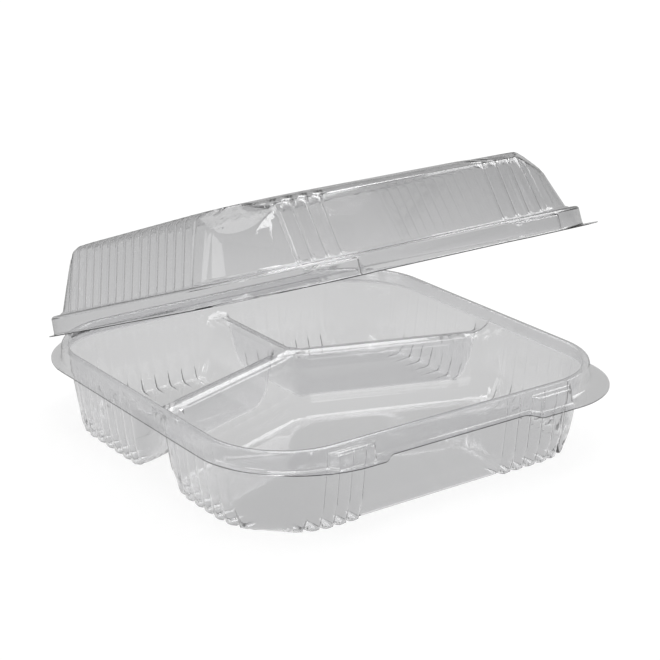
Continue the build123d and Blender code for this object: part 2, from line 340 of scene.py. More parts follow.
class StageSettings(bpy.types.PropertyGroup):
    """Camera and light of the studio."""

    azimuth: bpy.props.FloatProperty(
        name="Azimuth", description="Camera's turn about the vertical",
        default=math.radians(-35.4), subtype="ANGLE")
    elevation: bpy.props.FloatProperty(
        name="Elevation", description="Camera's height angle", default=math.radians(19.8), subtype="ANGLE")
    distance: bpy.props.FloatProperty(
        name="Distance", description="Camera's distance from its target", default=1.077, unit="LENGTH")
    target: bpy.props.FloatVectorProperty(
        name="Target", description="Place the camera looks at",
        default=(0.0533, 0.0679, 0.025), subtype="TRANSLATION")
    lens: bpy.props.FloatProperty(
        name="Lens", description="Focal length of the camera", default=102.7, unit="CAMERA")
    room_level: bpy.props.FloatProperty(
        name="Room level", description="Grey of the room round the stage", default=0.35, subtype="FACTOR")
    camera_level: bpy.props.FloatProperty(
        name="Camera level", description="White of the floor to the camera", default=1.05, subtype="FACTOR")
    camera_share: bpy.props.FloatProperty(
        name="Camera share", description="Share of that white over the shaded floor",
        default=0.85, subtype="FACTOR")
    # Painted pool of light: the floor glows pale grey through the sheet and white in the reflections,
    # brighter near the tray and darker further out
    painted_through_level: bpy.props.FloatProperty(
        name="Through level", description="Floor's grey through the sheet", default=0.68, subtype="FACTOR")
    painted_through_far: bpy.props.FloatProperty(
        name="Through far", description="That grey further out", default=0.41, subtype="FACTOR")
    painted_mirror_level: bpy.props.FloatProperty(
        name="Mirror level", description="Floor's white in the reflections", default=0.85, subtype="FACTOR")
    painted_mirror_far: bpy.props.FloatProperty(
        name="Mirror far", description="That white further out", default=0.5, subtype="FACTOR")


def in_millimetres(group):
    """The numbers of a property group, with its lengths in millimetres, all in Blender's single precision."""
    values = {}
    for prop in group.bl_rna.properties:
        if prop.type == "FLOAT":
            value = getattr(group, prop.identifier)
            if prop.unit == "LENGTH":
                value = float(np.float32(round(value / MM, DECIMALS)))
            values[prop.identifier] = value
    return SimpleNamespace(**values)


def smooth_step(low, high, value):
    """Eased rise from 0 to 1 between two values."""
    t = np.clip((value - low) / (high - low), 0.0, 1.0)
    return t * t * (3.0 - 2.0 * t)


def smooth_min(a, b, k):
    """Lesser of two distances, rounded over k where they meet."""
    h = np.maximum(k - np.abs(a - b), 0.0) / k
    return np.minimum(a, b) - h * h * k * 0.25


def smooth_max(a, b, k):
    """Greater of two distances, rounded over k where they meet."""
    return -smooth_min(-a, -b, k)


class Stations:
    """Places round the container, counter-clockwise from the front left corner's middle."""

    def __init__(self, sizes, front):
        self.sizes = sizes
        self.side = []
        self.on_corner = []
        self.place = []
        self.share = []
        self.fluted = []
        across = []
        for start, end, count, plain in front:
            across += self.flutes(start, end, count, plain)
        back = self.flutes(-sizes.cross_reach, sizes.cross_reach, BACK_FLUTES)
        edge = self.flutes(-sizes.side_reach, sizes.side_reach, SIDE_FLUTES)
        self.counts = []
        for side, run, end in (
            (0, across, sizes.cross_reach),
            (1, edge, sizes.side_reach),
            (2, back, sizes.cross_reach),
            (3, edge, sizes.side_reach),
        ):
            start = len(self.side)
            for k in range(CORNER_HALF, 2 * CORNER_HALF):
                self.add((side + 3) % 4, True, k / (2 * CORNER_HALF), 0.0, False)
            for along, share, fluted in run + [(end, 1.0, True)]:
                self.add(side, False, along, share, fluted)
            for k in range(1, CORNER_HALF):
                self.add(side, True, k / (2 * CORNER_HALF), 0.0, False)
            self.counts.append(len(self.side) - start)
        self.side = np.array(self.side)
        self.on_corner = np.array(self.on_corner)
        self.place = np.array(self.place)
        self.share = np.array(self.share)
        self.fluted = np.array(self.fluted)
        self.groove = np.where(self.fluted & (self.share > GROOVE_SHARE), 1.0, 0.0)
        self.groove = self.groove * np.array(sizes.groove_shares)[self.side]
        self.valley = np.where(self.fluted, self.share, 0.0)
        self.count = len(self.side)

    def flutes(self, start, end, count, plain=False):
        """Stations of a run of flutes, or of a plain panel, as (place, share of the depth, fluted)."""
        pitch = (end - start) / count
        run = []
        for index in range(count):
            for step in FLUTE_STEPS:
                share = 1.0 if plain else abs(2.0 * step - 1.0) ** RIB_POWER
                fluted = not plain or index + step == 0.0
                run.append((start + pitch * (index + step), share, fluted))
        return run

    def add(self, side, on_corner, place, share, fluted):
        """One more station."""
        self.side.append(side)
        self.on_corner.append(on_corner)
        self.place.append(place)
        self.share.append(share)
        self.fluted.append(fluted)

    def ring(self, half_x, half_y, corner):
        """Points and outward directions of one rounded outline."""
        sizes = self.sizes
        quarter = math.pi / 2
        mid_x = half_x - corner
        mid_y = half_y - corner
        cross = np.where(self.side % 2 == 0, mid_x, mid_y)
        outer = np.where(self.side % 2 == 0, mid_y, mid_x)
        lean_x = math.asin(min(max((sizes.cross_reach - mid_x) / corner, 0.0), LARGEST_LEAN))
        lean_y = math.asin(min(max((sizes.side_reach - mid_y) / corner, 0.0), LARGEST_LEAN))

        over = np.clip((np.abs(self.place) - cross) / corner, 0.0, LARGEST_LEAN)
        lean = np.arcsin(over)
        along = self.place
        reach = outer + corner * np.cos(lean)
        along_dir = np.sign(along) * np.sin(lean)
        out_dir = np.cos(lean)

        first = np.where(self.side % 2 == 0, lean_x, lean_y)
        last = quarter - np.where(self.side % 2 == 0, lean_y, lean_x)
        turn = first + (last - first) * np.where(self.on_corner, self.place, 0.0)
        along = np.where(self.on_corner, cross + corner * np.sin(turn), along)
        reach = np.where(self.on_corner, outer + corner * np.cos(turn), reach)
        along_dir = np.where(self.on_corner, np.sin(turn), along_dir)
        out_dir = np.where(self.on_corner, np.cos(turn), out_dir)

        angle = self.side * quarter
        ux, uy = np.cos(angle), np.sin(angle)
        vx, vy = np.sin(angle), -np.cos(angle)
        points = np.stack([along * ux + reach * vx, along * uy + reach * vy], 1)
        normals = np.stack([along_dir * ux + out_dir * vx, along_dir * uy + out_dir * vy], 1)
        return points, normals

    def square_ring(self, half_x, half_y):
        """Points of a sharp-cornered outline, with the corner stations spread along its sides."""
        sizes = self.sizes
        even = self.side % 2 == 0
        cross = np.where(even, half_x, half_y)
        outer = np.where(even, half_y, half_x)
        first = np.where(even, sizes.cross_reach, sizes.side_reach)
        second = np.where(even, sizes.side_reach, sizes.cross_reach)
        share = np.where(self.on_corner, 2.0 * self.place, 0.0)
        along = np.where(self.on_corner, first + (cross - first) * np.minimum(share, 1.0), self.place)
        reach = outer - (outer - second) * np.maximum(share - 1.0, 0.0)
        angle = self.side * math.pi / 2
        ux, uy = np.cos(angle), np.sin(angle)
        return np.stack([along * ux + reach * uy, along * uy - reach * ux], 1)


def rounded_inside(points, half_x, half_y, corner, shift_y):
    """True where a point lies in a rounded rectangle moved along Y."""
    qx = np.abs(points[..., 0]) - (half_x - corner)
    qy = np.abs(points[..., 1] - shift_y) - (half_y - corner)
    away = np.hypot(np.maximum(qx, 0.0), np.maximum(qy, 0.0)) + np.minimum(np.maximum(qx, qy), 0.0)
    return away <= corner


def flange_reach(stations, points, normals):
    """How far the flange reaches out of an outline, station by station."""
    sizes = stations.sizes
    steps = np.arange(0.0, PROBE_REACH, PROBE_STEP)
    probes = points[:, None, :] + normals[:, None, :] * steps[None, :, None]
    x, y = probes[..., 0], probes[..., 1]
    side = sizes.flange_side
    half_x = sizes.half_width + side
    half_y = sizes.half_depth + side
    inside = rounded_inside(probes, half_x, half_y, FLANGE_CORNER, 0.0)
    inside |= (np.abs(x) < sizes.step_x) & (y < 0.0) & (y > -sizes.half_depth - sizes.flange_front)
    latch = rounded_inside(probes, half_x, half_y, LATCH_CORNER, side - sizes.flange_latch)
    inside |= latch & (x < -sizes.step_x) & (y < 0.0)
    ear = rounded_inside(probes, half_x, half_y, EAR_CORNER, side - sizes.flange_ear)
    inside |= ear & (x > sizes.step_x) & (y < 0.0)
    back = rounded_inside(probes, half_x, half_y, FLANGE_CORNER, sizes.flange_back - side)
    inside |= back & (y > 0.0)
    hinge_edge = sizes.half_depth + sizes.hinge_out - sizes.bead_radius
    inside |= (np.abs(x) < sizes.hinge_half) & (y > 0.0) & (y < hinge_edge)
    last = inside.shape[1] - 1 - np.argmax(inside[:, ::-1], axis=1)
    reach = steps[last]
    kernel = np.array(EDGE_SMOOTHING)
    kernel /= kernel.sum()
    wrapped = np.concatenate([reach[-2:], reach, reach[:2]])
    soft = np.convolve(wrapped, kernel, mode="valid")
    at_hinge = (points[:, 1] > 0.0) & (np.abs(points[:, 0]) < sizes.hinge_half - HINGE_END_RUN)
    return np.where(at_hinge, reach, soft)


def latch_bump(sizes, points, z, top, room):
    """Outward step of the two latch boxes on the front, with slanted ends and a sloping top."""
    across = np.abs(np.abs(points[:, 0]) - sizes.latch_x) - room
    wide = np.clip((sizes.latch_half - across) / (sizes.latch_half - sizes.latch_front_half), 0.0, 1.0)
    up = min(max(1.0 - (top - z) / sizes.latch_slope, 0.0), 1.0)
    tall = (1.0 - up ** LATCH_ROUNDING) ** (1.0 / LATCH_ROUNDING)
    return sizes.latch_reach * wide * tall * (points[:, 1] < 0.0)


def fork_distance(x):
    """Distance from the middle, rounded where the divider's arms fork."""
    return np.sqrt(x * x + FORK_ROUNDING ** 2) - FORK_ROUNDING


def ridge_height_gap(sizes, x, y, z):
    """Distance above the hollow Y of the divider."""
    tilt = math.hypot(1.0, sizes.ridge_slope)
    chevron = np.abs(y - sizes.ridge_y + sizes.ridge_slope * fork_distance(x)) / tilt
    stem = np.hypot(x, np.minimum(y - sizes.ridge_y, 0.0))
    bend_z = sizes.floor_height + sizes.ridge_bend_height
    steep = (sizes.ridge_bend - sizes.ridge_crest) / (sizes.ridge_top - bend_z)
    gentle = (sizes.ridge_foot - sizes.ridge_bend) / sizes.ridge_bend_height
    above = sizes.ridge_bend - steep * (z - bend_z)
    below = sizes.ridge_bend - gentle * (z - bend_z)
    half = smooth_max(above, below, BEND_ROLL)
    flat = 1.0 / np.hypot(1.0, np.where(z > bend_z, steep, gentle))
    over = z - sizes.ridge_top
    gap_chevron = smooth_max(over + sizes.ridge_roof * chevron, (chevron - half) * flat, CREST_ROLL)
    gap_stem = smooth_max(over + sizes.ridge_roof * stem, (stem - half) * flat, CREST_ROLL)
    return smooth_min(gap_chevron, gap_stem, STEM_BLEND)


def tray_height(sizes, x, y, inset, share, groove, valley):
    """Height of the tray's upper face over a point, by halving the interval."""
    low = np.full(x.shape, SOLVE_LOW)
    high = np.full(x.shape, SOLVE_HIGH)
    behind = y - sizes.ridge_y + sizes.ridge_slope * np.abs(x)
    behind = smooth_step(-ROLL_CHANGE, ROLL_CHANGE, behind)
    foot_roll = FRONT_FOOT_ROLL + (BACK_FOOT_ROLL - FRONT_FOOT_ROLL) * behind
    corner_roll = FRONT_CORNER_ROLL + (BACK_CORNER_ROLL - FRONT_CORNER_ROLL) * behind
    arch = ARCH_TOP - ARCH_FALL * share
    tip = TIP_LOW + TIP_RISE * share
    sides = sizes.half_width - np.abs(x) + sizes.half_depth - np.abs(y)
    foot_inset = sizes.wall_top_inset + sizes.wall_slope * sizes.rim_height
    rise = np.clip(1.0 - (inset - foot_inset) / sizes.foot_reach, 0.0, 1.0)
    rise = sizes.foot_rise * valley ** 2 * rise
    for _ in range(SOLVE_STEPS):
        z = 0.5 * (low + high)
        shown = 1.0 - smooth_step(arch + ARCH_FADE[0], arch + ARCH_FADE[1], z)
        finger = smooth_step(tip + TIP_FADE[0], tip + TIP_FADE[1], z)
        low_share = 1.0 - smooth_step(sizes.bevel_top, sizes.bevel_top + BEVEL_FADE, z)
        drop = np.maximum(sizes.bevel_top - z, 0.0)
        depth = sizes.finger_depth * low_share + sizes.finger_growth * drop
        push = depth * (1.0 - (1.0 - share) * finger)
        push = push + sizes.flute_depth * groove * shown * (1.0 - low_share)
        lean = sizes.wall_slope * (sizes.rim_height - z)
        wall = inset - sizes.wall_top_inset - lean - push
        facet = sides - sizes.floor_facet + sizes.floor_facet_slope * z
        facet = facet / math.sqrt(2.0 + sizes.floor_facet_slope ** 2)
        wall = smooth_min(wall, facet, FLOOR_FACET_ROLL)
        ridge = ridge_height_gap(sizes, x, y, z)
        floor = z - sizes.floor_height - rise
        roll = np.where(wall < ridge, sizes.wall_roll, foot_roll)
        gap = smooth_min(smooth_min(wall, ridge, corner_roll), floor, roll)
        above = gap > 0.0
        high = np.where(above, z, high)
        low = np.where(above, low, z)
    return 0.5 * (low + high)


def coons_patch(loop, counts):
    """A grid of points inside a closed loop of four sides."""
    across, down = counts[0], counts[1]
    front = loop[: across + 1]
    right = loop[across : across + down + 1]
    back = loop[across + down : 2 * across + down + 1][::-1]
    left = np.concatenate([loop[2 * across + down :], loop[:1]])[::-1]
    u = np.linspace(0.0, 1.0, across + 1)[:, None, None]
    v = np.linspace(0.0, 1.0, down + 1)[None, :, None]
    straight = (1 - v) * front[:, None, :] + v * back[:, None, :]
    sideways = (1 - u) * left[None, :, :] + u * right[None, :, :]
    corners = (1 - u) * (1 - v) * front[0] + u * (1 - v) * front[-1]
    corners = corners + (1 - u) * v * back[0] + u * v * back[-1]
    return straight + sideways - corners


def ring_quads(rings, count):
    """Faces between rings of points that follow each other."""
    quads = []
    for row in range(rings - 1):
        here, there = row * count, (row + 1) * count
        for index in range(count):
            after = (index + 1) % count
            quads.append((here + index, here + after, there + after, there + index))
    return quads


def point_normals(points, faces):
    """Mean normals of the faces round each point."""
    normals = np.zeros_like(points)
    quads = np.array([face for face in faces if len(face) == 4])
    spread = np.cross(points[quads[:, 2]] - points[quads[:, 0]], points[quads[:, 3]] - points[quads[:, 1]])
    for column in range(4):
        np.add.at(normals, quads[:, column], spread)
    length = np.linalg.norm(normals, axis=1, keepdims=True)
    return normals / np.maximum(length, 1e-9)


def sheet_object(name, points, faces, edge_count, thickness):
    """A closed sheet: the given face, its offset below and the strip round the free edge."""
    normals = point_normals(points, faces)
    lower = points - normals * thickness
    mesh = bpy.data.meshes.new(name)
    bm = bmesh.new()
    top = [bm.verts.new(Vector(p) * MM) for p in points.tolist()]
    low = [bm.verts.new(Vector(p) * MM) for p in lower.tolist()]
    for face in faces:
        bm.faces.new([top[i] for i in face])
        bm.faces.new([low[i] for i in reversed(face)])
    for index in range(edge_count):
        after = (index + 1) % edge_count
        strip = bm.faces.new((top[after], top[index], low[index], low[after]))
        for edge in strip.edges:
            edge.smooth = False
    for face in bm.faces:
        face.smooth = True
    for edge in bm.edges:
        if edge.calc_face_angle(0.0) > CRISP_ANGLE:
            edge.smooth = False
    bm.to_mesh(mesh)
    bm.free()
    piece = bpy.data.objects.new(name, mesh)
    bpy.context.scene.collection.objects.link(piece)
    return piece


def clear_sheet_material():
    """Clear glossy plastic sheet with a faint waviness."""
    material = bpy.data.materials.get("clear_sheet_look")
    if material:
        return material
    look = bpy.context.scene.container_sizes
    material = bpy.data.materials.new("clear_sheet_look")
    material.use_nodes = True
    nodes, links = material.node_tree.nodes, material.node_tree.links
    shader = nodes["Principled BSDF"]
    shader.inputs["Base Color"].default_value = look.sheet_colour
    shader.inputs["Roughness"].default_value = look.sheet_roughness
    shader.inputs["IOR"].default_value = 1.5
    shader.inputs["Metallic"].default_value = 0.0
    shader.inputs["Transmission Weight"].default_value = 1.0
    coords = nodes.new("ShaderNodeTexCoord")
    noise = nodes.new("ShaderNodeTexNoise")
    noise.inputs["Scale"].default_value = 45.0
    noise.inputs["Detail"].default_value = 2.0
    bump = nodes.new("ShaderNodeBump")
    bump.inputs["Strength"].default_value = 0.05
    bump.inputs["Distance"].default_value = 0.001
    links.new(coords.outputs["Object"], noise.inputs["Vector"])
    links.new(noise.outputs["Fac"], bump.inputs["Height"])
    links.new(bump.outputs["Normal"], shader.inputs["Normal"])
    return material


def finish_piece(piece, body, node):
    """Gives a piece its material and its body, and hides the CAD node it stands for."""
    piece.data.materials.append(clear_sheet_material())
    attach(piece, body)
    if node:
        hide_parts(node)


def level_ring(points, z):
    """Points of an outline at one height."""
    return np.column_stack([points, np.full(len(points), z)])


def flange_rings(stations, points, normals, z, step):
    """Rings of a flange, from its edge in to the foot of the wall."""
    reach = flange_reach(stations, points, normals)
    rings = []
    for share in FLANGE_SHARES:
        spread = points + normals * (step + (reach - step) * share)[:, None]
        rings.append(level_ring(spread, z))
    return rings


def tray_outline(stations, out):
    """Points and outward directions of the tray's outline, some way out of the band."""
    sizes = stations.sizes
    corner = sizes.band_corner + out
    if out < 0.0:
        blend = min(-out / CORNER_BLEND, 1.0)
        corner = (1 - blend) * corner + blend * sizes.wall_corner
    return stations.ring(sizes.half_width + out, sizes.half_depth + out, corner)


def band_rings(stations):
    """Rings of the tray's flange and of its band with the latch boxes."""
    sizes = stations.sizes
    flange = sizes.flange_height
    points, normals = tray_outline(stations, sizes.band_out + sizes.flange_fillet)
    step = latch_bump(sizes, points, flange, sizes.latch_top, 0.0)
    rings = flange_rings(stations, points, normals, flange, step)
    fillet = []
    for turn in np.radians(FILLET_TURNS):
        across = sizes.band_out + sizes.flange_fillet * (1.0 - math.sin(turn))
        fillet.append((across, flange + sizes.flange_fillet * (1.0 - math.cos(turn))))
    for out, z in (*fillet, *BAND_PROFILE):
        points, normals = tray_outline(stations, out)
        step = latch_bump(sizes, points, z, sizes.latch_top, 0.0)
        rings.append(level_ring(points + normals * step[:, None], z))
    return rings


def pocket_rings(stations):
    """Rings of the tray's fluted walls, from a rounded outline to a square one."""
    sizes = stations.sizes
    rounded, _ = tray_outline(stations, -ROUNDED_INSET)
    innermost = POCKET_INSETS[-1]
    square = stations.square_ring(sizes.half_width - innermost, sizes.half_depth - innermost)
    rings = []
    for inset in POCKET_INSETS:
        if inset > ROUNDED_INSET:
            blend = (inset - ROUNDED_INSET) / (innermost - ROUNDED_INSET)
            points = rounded + (square - rounded) * blend
        else:
            points, _ = tray_outline(stations, -inset)
        inset_all = np.full(stations.count, inset)
        z = tray_height(
            sizes, points[:, 0], points[:, 1], inset_all, stations.share, stations.groove, stations.valley
        )
        rings.append(np.column_stack([points, z]))
    return rings


def floor_grid(stations, loop):
    """Grid of points over the floors and the divider, with its rows bent along the divider's arms."""
    sizes = stations.sizes
    grid = coons_patch(loop, stations.counts)
    gx, gy = grid[..., 0], grid[..., 1]
    half_x = np.abs(loop[:, 0]).max()
    half_y = np.abs(loop[:, 1]).max()
    line = sizes.ridge_y - sizes.ridge_slope * half_x
    front_share = smooth_step(-half_y, line - DIVIDER_MARGIN, gy)
    back_share = 1.0 - smooth_step(line + DIVIDER_MARGIN, half_y, gy)
    arm = np.maximum(half_x - fork_distance(gx), 0.0)
    gy = gy + sizes.ridge_slope * arm * front_share * back_share
    deep = np.full(gx.shape, FAR_INSIDE)
    none = np.zeros(gx.shape)
    gz = tray_height(sizes, gx, gy, deep, np.ones(gx.shape), none, none)
    return np.stack([gx, gy, gz], 2)


def fill_loop(stations, points, base, grid):
    """Points and faces of a grid whose edge is the ring of points that starts at base."""
    across, down = stations.counts[0], stations.counts[1]
    index = np.full((across + 1, down + 1), -1)
    for i in range(across + 1):
        index[i, 0] = base + i
        index[i, down] = base + (2 * across + down - i) % stations.count
    for j in range(down + 1):
        index[across, j] = base + across + j
        index[0, j] = base + (stations.count - j) % stations.count
    inner = grid[1:across, 1:down]
    index[1:across, 1:down] = len(points) + np.arange(inner.size // 3).reshape(inner.shape[:2])
    faces = []
    for i in range(across):
        for j in range(down):
            faces.append((index[i, j], index[i + 1, j], index[i + 1, j + 1], index[i, j + 1]))
    return np.concatenate([points, inner.reshape(-1, 3)]), faces


class CONTAINER_OT_tray(bpy.types.Operator):
    """Builds the three-compartment tray"""

    bl_idname = "container.tray"
    bl_label = "Tray"

    def execute(self, context):
        sizes = in_millimetres(context.scene.container_sizes)
        front = (
            (-sizes.cross_reach, sizes.panel_left, LEFT_FINGERS, False),
            (sizes.panel_left, sizes.panel_right, PANEL_STEPS, True),
            (sizes.panel_right, sizes.cross_reach, RIGHT_FINGERS, False),
        )
        stations = Stations(sizes, front)
        rings = band_rings(stations) + pocket_rings(stations)
        faces = ring_quads(len(rings), stations.count)
        points = np.concatenate(rings)
        grid = floor_grid(stations, rings[-1][:, :2])
        points, floor_faces = fill_loop(stations, points, len(points) - stations.count, grid)
        piece = sheet_object("tray_sheet", points, faces + floor_faces, stations.count, sizes.sheet)
        finish_piece(piece, "base", "base_tray")
        return {"FINISHED"}


def lid_outline(stations, out, corner):
    """Points and outward directions of the lid's outline, some way out of the band."""
    sizes = stations.sizes
    return stations.ring(sizes.half_width + out, sizes.half_depth + out, corner)


def skirt_rings(stations):
    """Rings of the lid's flange and of its skirt with the latch pockets."""
    sizes = stations.sizes
    flange = sizes.flange_height
    latch_top = sizes.latch_top + LID_LATCH_RISE
    points, normals = lid_outline(stations, LID_FLANGE_OUT, sizes.band_corner + LID_FLANGE_OUT)
    step = latch_bump(sizes, points, flange, latch_top, sizes.latch_room)
    rings = flange_rings(stations, points, normals, flange + sizes.sheet, step)
    for out, z in SKIRT_PROFILE:
        corner = sizes.band_corner + min(out, 0.0) * SKIRT_CORNER_SHRINK
        points, normals = lid_outline(stations, out, corner)
        step = latch_bump(sizes, points, z, latch_top, sizes.latch_room)
        rings.append(level_ring(points + normals * step[:, None], z))
    return rings


def dome_profile(sizes):
    """Steps up the lid's wall and over its shoulder as (inset, height, groove, peak and fall shares)."""
    profile = []
    straight = sizes.lid_wall_top - sizes.lid_wall_foot
    for step in LID_WALL_STEPS:
        inset = sizes.lid_foot_inset + sizes.lid_wall_slope * straight * step
        shown = min(1.0, GROOVE_START + GROOVE_GROWTH * step)
        profile.append((inset, sizes.lid_wall_foot + straight * step, shown, 0.0, 0.0))
    shoulder_in, shoulder_z = profile[-1][:2]
    lean = math.atan(sizes.lid_wall_slope)
    for step in SHOULDER_STEPS:
        turn = lean + (math.pi / 2 - lean) * step
        across = sizes.lid_shoulder * (math.cos(lean) - math.cos(turn))
        rise = sizes.lid_shoulder * (math.sin(turn) - math.sin(lean))
        profile.append((shoulder_in + across, shoulder_z + rise, 1.0 - step ** 3, step, step))
    edge_in, edge_z = profile[-1][0] + TOP_EDGE_IN, profile[-1][1] + TOP_EDGE_RISE
    profile.append((edge_in, edge_z, 0.0, TOP_EDGE_PEAKED, TOP_EDGE_FALLEN))
    return profile


def lid_ribs(stations):
    """Depth of the lid's grooves, fall of the rib tops towards them, and drop of the front."""
    sizes = stations.sizes
    pitch = (sizes.lid_rib_reach - sizes.lid_panel_half) / LID_RIBS
    front = [sizes.lid_panel_half + pitch * index for index in range(LID_RIBS + 1)]
    marks = (
        np.array(front + [-mark for mark in front]),
        np.linspace(-sizes.side_reach, sizes.side_reach, SIDE_FLUTES + 1),
        np.linspace(-sizes.cross_reach, sizes.cross_reach, BACK_FLUTES + 1),
        np.linspace(-sizes.side_reach, sizes.side_reach, SIDE_FLUTES + 1),
    )
    deep = (sizes.lid_front_depth, sizes.lid_faint_depth, sizes.lid_faint_depth, sizes.lid_groove_depth)
    dips = (sizes.lid_peak, sizes.lid_arch, sizes.lid_arch, sizes.lid_arch)
    depth = np.zeros(stations.count)
    peak = np.zeros(stations.count)
    for side in range(4):
        here = (stations.side == side) & ~stations.on_corner
        away = np.abs(stations.place[here][:, None] - marks[side][None, :]).min(axis=1)
        depth[here] = deep[side] * np.clip(1.0 - away / GROOVE_HALF_WIDTHS[side], 0.0, 1.0)
        peak[here] = dips[side] * np.clip(1.0 - 2.0 * away / pitch, 0.0, 1.0)
    turn = np.where(stations.on_corner, stations.place, 0.0)
    front = np.where(stations.side == 0, 1.0 - 2.0 * turn, 0.0)
    front = np.where((stations.side == 3) & stations.on_corner, 2.0 * turn - 1.0, front)
    return depth, peak, sizes.lid_front_drop * np.clip(front, 0.0, 1.0)


def dome_rings(stations):
    """Rings of the lid's ribbed wall, its corner facets and its crown."""
    sizes = stations.sizes
    depth, peak, fall = lid_ribs(stations)
    facet_z = sizes.flange_height + sizes.facet_top
    profile = dome_profile(sizes)
    rings = []
    for inset, z, shown, peaked, fallen in profile:
        points, normals = lid_outline(stations, -inset, sizes.lid_corner)
        spread = points - normals * (depth * shown)[:, None]
        sides = sizes.half_width - np.abs(spread[:, 0]) + sizes.half_depth - np.abs(spread[:, 1])
        least = sizes.facet_in + sizes.facet_slope * (z - facet_z)
        reach_in = np.maximum(least - sides, 0.0) / np.maximum(np.abs(normals).sum(axis=1), LEAST_SPREAD)
        spread = spread - normals * reach_in[:, None]
        rings.append(np.column_stack([spread, z - peak * peaked - fall * fallen]))
    edge, edge_z = rings[-1], profile[-1][1]
    for share, rise, fallen in CROWN:
        rings.append(np.column_stack([edge[:, :2] * share, edge_z + rise - fall * fallen]))
    return rings


def swing_open(sizes, points):
    """Points of the closed lid, turned open about the hinge."""
    hinge_y = sizes.half_depth + sizes.hinge_out
    sine, cosine = math.sin(sizes.open_angle), math.cos(sizes.open_angle)
    x = points[:, 0] + sizes.lid_shift
    y = points[:, 1] - hinge_y
    z = points[:, 2] - sizes.flange_height
    up = sizes.flange_height + sizes.lid_lift
    return np.column_stack([x, hinge_y + y * cosine + z * sine, up - y * sine + z * cosine])


class CONTAINER_OT_lid(bpy.types.Operator):
    """Builds the domed lid at its open angle"""

    bl_idname = "container.lid"
    bl_label = "Lid"

    def execute(self, context):
        sizes = in_millimetres(context.scene.container_sizes)
        panel, ribs = sizes.lid_panel_half, sizes.lid_rib_reach
        front = (
            (-sizes.cross_reach, -ribs, 1, True),
            (-ribs, -panel, LID_RIBS, False),
            (-panel, panel, LID_PANEL_STEPS, True),
            (panel, ribs, LID_RIBS, False),
            (ribs, sizes.cross_reach, 1, True),
        )
        stations = Stations(sizes, front)
        rings = skirt_rings(stations) + dome_rings(stations)
        faces = ring_quads(len(rings), stations.count)
        points = swing_open(sizes, np.concatenate(rings))
        faces.append(tuple(range(len(points) - stations.count, len(points))))
        piece = sheet_object("lid_sheet", points, faces, stations.count, sizes.sheet)
        finish_piece(piece, "cover", "lid")
        return {"FINISHED"}


class CONTAINER_OT_hinge(bpy.types.Operator):
    """Builds the thin bead of the living hinge"""

    bl_idname = "container.hinge"
    bl_label = "Hinge bead"

    def execute(self, context):
        sizes = in_millimetres(context.scene.container_sizes)
        mesh = bpy.data.meshes.new("hinge_bead")
        bm = bmesh.new()
        bmesh.ops.create_cone(
            bm,
            cap_ends=True,
            segments=BEAD_SEGMENTS,
            radius1=sizes.bead_radius * MM,
            radius2=sizes.bead_radius * MM,
            depth=2.0 * sizes.hinge_half * MM,
        )
        turn = Vector((0.0, 0.0, 1.0)).rotation_difference(Vector((1.0, 0.0, 0.0))).to_matrix()
        bmesh.ops.rotate(bm, verts=bm.verts, matrix=turn)
        centre = Vector((0.0, sizes.half_depth + sizes.hinge_out, sizes.flange_height)) * MM
        bmesh.ops.translate(bm, verts=bm.verts, vec=centre)
        for face in bm.faces:
            face.smooth = len(face.verts) == 4
        bm.to_mesh(mesh)
        bm.free()
        piece = bpy.data.objects.new("hinge_bead", mesh)
        context.scene.collection.objects.link(piece)
        finish_piece(piece, "base", None)
        return {"FINISHED"}


def math_node(tree, operation, first, second):
    """One Math node of two inputs, each a socket or a plain number."""
    node = tree.nodes.new("ShaderNodeMath")
    node.operation = operation
    for place, value in enumerate((first, second)):
        if isinstance(value, float):
            node.inputs[place].default_value = value
        else:
            tree.links.new(value, node.inputs[place])
    return node.outputs["Value"]


def backdrop_rays(tree):
    """Masks of the rays that see the backdrop: from the camera, through the sheet only, and mirrored."""
    path = tree.nodes.new("ShaderNodeLightPath")
    camera = path.outputs["Is Camera Ray"]
    mirrored = math_node(tree, "GREATER_THAN", path.outputs["Glossy Depth"], 0.5)
    through = math_node(tree, "SUBTRACT", path.outputs["Is Transmission Ray"], mirrored)
    through = math_node(tree, "MAXIMUM", through, 0.0)
    return camera, through, mirrored


def light_pool(tree, pool_place, near_level, far_level):
    """Level that changes from near to far round one place: a painted pool of light where it sets the floor's
    glow, and the share of the floor's real shading where it sets the mix.
    """
    centre, near, far = pool_place
    coords = tree.nodes.new("ShaderNodeTexCoord")
    away = tree.nodes.new("ShaderNodeVectorMath")
    away.operation = "DISTANCE"
    away.inputs[1].default_value = centre
    tree.links.new(coords.outputs["Object"], away.inputs[0])
    pool = tree.nodes.new("ShaderNodeMapRange")
    pool.interpolation_type = "SMOOTHSTEP"
    pool.inputs["From Min"].default_value = near
    pool.inputs["From Max"].default_value = far
    pool.inputs["To Min"].default_value = near_level
    pool.inputs["To Max"].default_value = far_level
    tree.links.new(away.outputs["Value"], pool.inputs["Value"])
    return pool.outputs["Result"]


